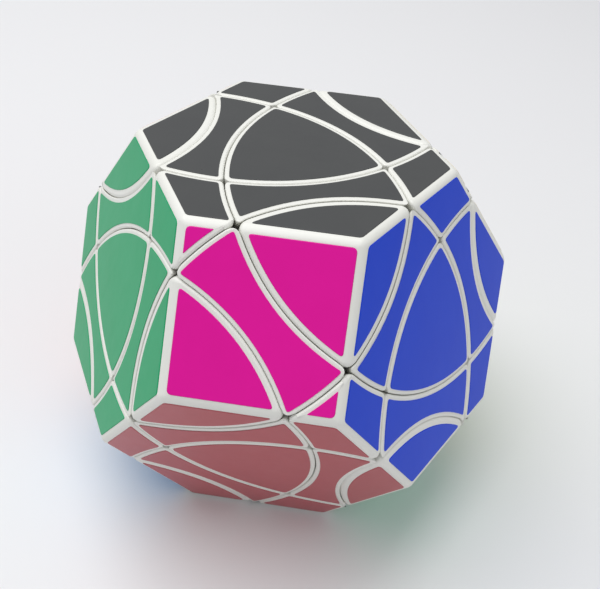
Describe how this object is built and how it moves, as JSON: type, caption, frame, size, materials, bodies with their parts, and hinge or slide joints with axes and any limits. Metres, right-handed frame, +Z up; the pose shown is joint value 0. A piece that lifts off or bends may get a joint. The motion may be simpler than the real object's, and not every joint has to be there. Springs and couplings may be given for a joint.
{
  "type": "twisty puzzle",
  "caption": "Hand-held twisty puzzle shaped as a truncated octahedron: curved cuts divide its coloured faces into pieces that turn in layers about its corners.",
  "frame": {"origin": "centre of the footprint, on the surface that the puzzle stands on", "axes": "+Z up out of the resting hexagon, -Y towards the viewer with a square face above, +X to the viewer's right"},
  "size_m": [0.0848, 0.0816, 0.0693],
  "materials": {
    "white_shell": "smooth moulded ABS, slightly glossy",
    "base": "moulded ABS",
    "core": "moulded nylon",
    "steel": "zinc plated",
    "sticker_black": "smooth vinyl sticker",
    "sticker_magenta": "smooth vinyl sticker",
    "sticker_green": "smooth vinyl sticker",
    "sticker_blue": "smooth vinyl sticker",
    "sticker_pink": "smooth vinyl sticker",
    "sticker_sky": "smooth vinyl sticker",
    "sticker_mint": "smooth vinyl sticker",
    "sticker_red": "smooth vinyl sticker",
    "sticker_orange": "smooth vinyl sticker",
    "sticker_yellow": "smooth vinyl sticker",
    "sticker_purple": "smooth vinyl sticker",
    "sticker_grey": "smooth vinyl sticker",
    "sticker_cream": "smooth vinyl sticker",
    "sticker_lime": "smooth vinyl sticker"
  },
  "bodies": {
    "frame": {"core": "core", "axle_screws": "steel", "tension_springs": "steel", "spring_washers": "steel", "fixed_bases": "base", "top_front_cap": "white_shell", "top_right_cap": "white_shell", "top_left_cap": "white_shell", "lower_front_cap": "white_shell", "lower_right_cap": "white_shell", "lower_left_cap": "white_shell", "bottom_front_cap": "white_shell", "bottom_right_cap": "white_shell", "bottom_left_cap": "white_shell", "top_edges": "white_shell", "side_edges": "white_shell", "lower_edges_a": "white_shell", "lower_edges_b": "white_shell", "bottom_edges": "white_shell", "top_corner": "white_shell", "bottom_corner": "white_shell", "lower_front_corner": "white_shell", "lower_right_corner": "white_shell", "lower_left_corner": "white_shell"},
    "front_layer": {"front_base": "base", "front_cap": "white_shell", "front_edge_1": "white_shell", "front_edge_2": "white_shell", "front_edge_3": "white_shell", "front_edge_4": "white_shell", "front_edge_5": "white_shell", "front_corner_1": "white_shell", "front_corner_2": "white_shell", "front_corner_3": "white_shell", "front_corner_4": "white_shell", "front_corner_5": "white_shell"},
    "right_layer": {"right_base": "base", "right_cap": "white_shell", "right_edge_1": "white_shell", "right_edge_2": "white_shell", "right_edge_3": "white_shell", "right_edge_4": "white_shell", "right_edge_5": "white_shell", "right_corner_1": "white_shell", "right_corner_2": "white_shell", "right_corner_3": "white_shell", "right_corner_4": "white_shell", "right_corner_5": "white_shell"},
    "left_layer": {"left_base": "base", "left_cap": "white_shell", "left_edge_1": "white_shell", "left_edge_2": "white_shell", "left_edge_3": "white_shell", "left_edge_4": "white_shell", "left_edge_5": "white_shell", "left_corner_1": "white_shell", "left_corner_2": "white_shell", "left_corner_3": "white_shell", "left_corner_4": "white_shell", "left_corner_5": "white_shell"}
  },
  "joints": [
    {"name": "front_turn", "type": "hinge", "parent": "frame", "child": "front_layer", "pos_m": [0, 0, 0.03464], "axis": [0.3717, -0.9092, 0.1876], "continuous": true},
    {"name": "right_turn", "type": "hinge", "parent": "frame", "child": "right_layer", "pos_m": [0, 0, 0.03464], "axis": [0.6015, 0.7765, 0.1876], "continuous": true},
    {"name": "left_turn", "type": "hinge", "parent": "frame", "child": "left_layer", "pos_m": [0, 0, 0.03464], "axis": [-0.9732, 0.1326, 0.1876], "continuous": true}
  ]
}
